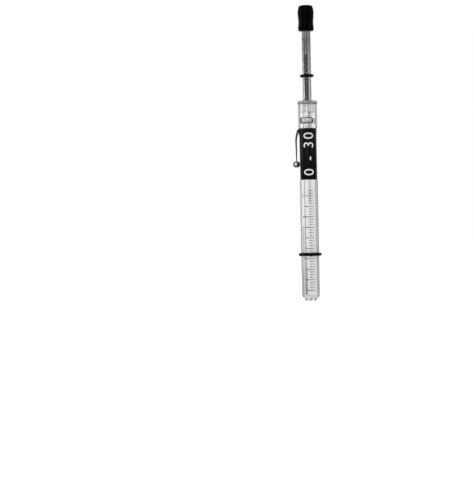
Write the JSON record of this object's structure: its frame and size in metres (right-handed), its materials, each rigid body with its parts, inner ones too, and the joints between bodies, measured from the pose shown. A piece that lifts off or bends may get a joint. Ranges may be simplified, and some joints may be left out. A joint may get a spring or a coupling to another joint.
{
  "type": "belt tension checker",
  "caption": "Pencil-type belt tension checker: clear barrel with a deflection scale, sprung plunger with a force scale and push cap, reading O-rings and a pocket clip.",
  "frame": {"origin": "centre of the nose's flat end, which presses on the belt", "axes": "+Z along the barrel from the nose to the push cap, -Y towards the scale side, -X towards the pocket clip"},
  "size_m": [0.0164, 0.0142, 0.1793],
  "materials": {
    "clear_plastic": "clear, polished in the mould",
    "frosted_plastic": "satin",
    "pale_film": "satin, printed",
    "black_print": "satin",
    "smoked_plastic": "satin",
    "grey_aluminium": "satin, printed",
    "turned_brass": "turned",
    "spring_steel": "drawn wire",
    "black_steel": "black oxide, satin",
    "polished_steel": "polished",
    "black_cap": "soft satin",
    "black_rubber": "matte"
  },
  "bodies": {
    "barrel": {"barrel_tube": "clear_plastic", "nose_plug": "frosted_plastic", "scale_sleeve": "pale_film", "black_label": "black_print", "guide_bush": "smoked_plastic", "seat_washer": "spring_steel", "compression_spring": "spring_steel", "clip_band": "black_steel"},
    "plunger": {"plunger_rod": "grey_aluminium", "piston_collar": "turned_brass", "retaining_clip": "spring_steel", "push_cap": "black_cap"},
    "force_ring": {"force_ring": "black_rubber"},
    "deflection_ring": {"deflection_ring": "black_rubber"},
    "clip": {"clip_arm": "black_steel", "clip_ball": "polished_steel"}
  },
  "joints": [
    {"name": "plunger_slide", "type": "slide", "parent": "barrel", "child": "plunger", "axis": [0, 0, -1], "range_m": [0, 0.037], "stiffness_N_per_m": 3600, "springref_m": -0.001, "deforming": ["compression_spring"]},
    {"name": "force_ring_slide", "type": "slide", "parent": "plunger", "child": "force_ring", "axis": [0, 0, 1], "range_m": [0, 0.02275]},
    {"name": "deflection_ring_slide", "type": "slide", "parent": "barrel", "child": "deflection_ring", "axis": [0, 0, 1], "range_m": [-0.021, 0.045]},
    {"name": "clip_flex", "type": "hinge", "parent": "barrel", "child": "clip", "pos_m": [-0.0065, 0, 0.1034], "axis": [0, 1, 0], "range_deg": [0, 6], "stiffness_Nm_per_rad": 0.66}
  ],
  "couplings": [
    {"joint": "force_ring_slide", "follows": "plunger_slide", "ratio": 0.6148}
  ]
}
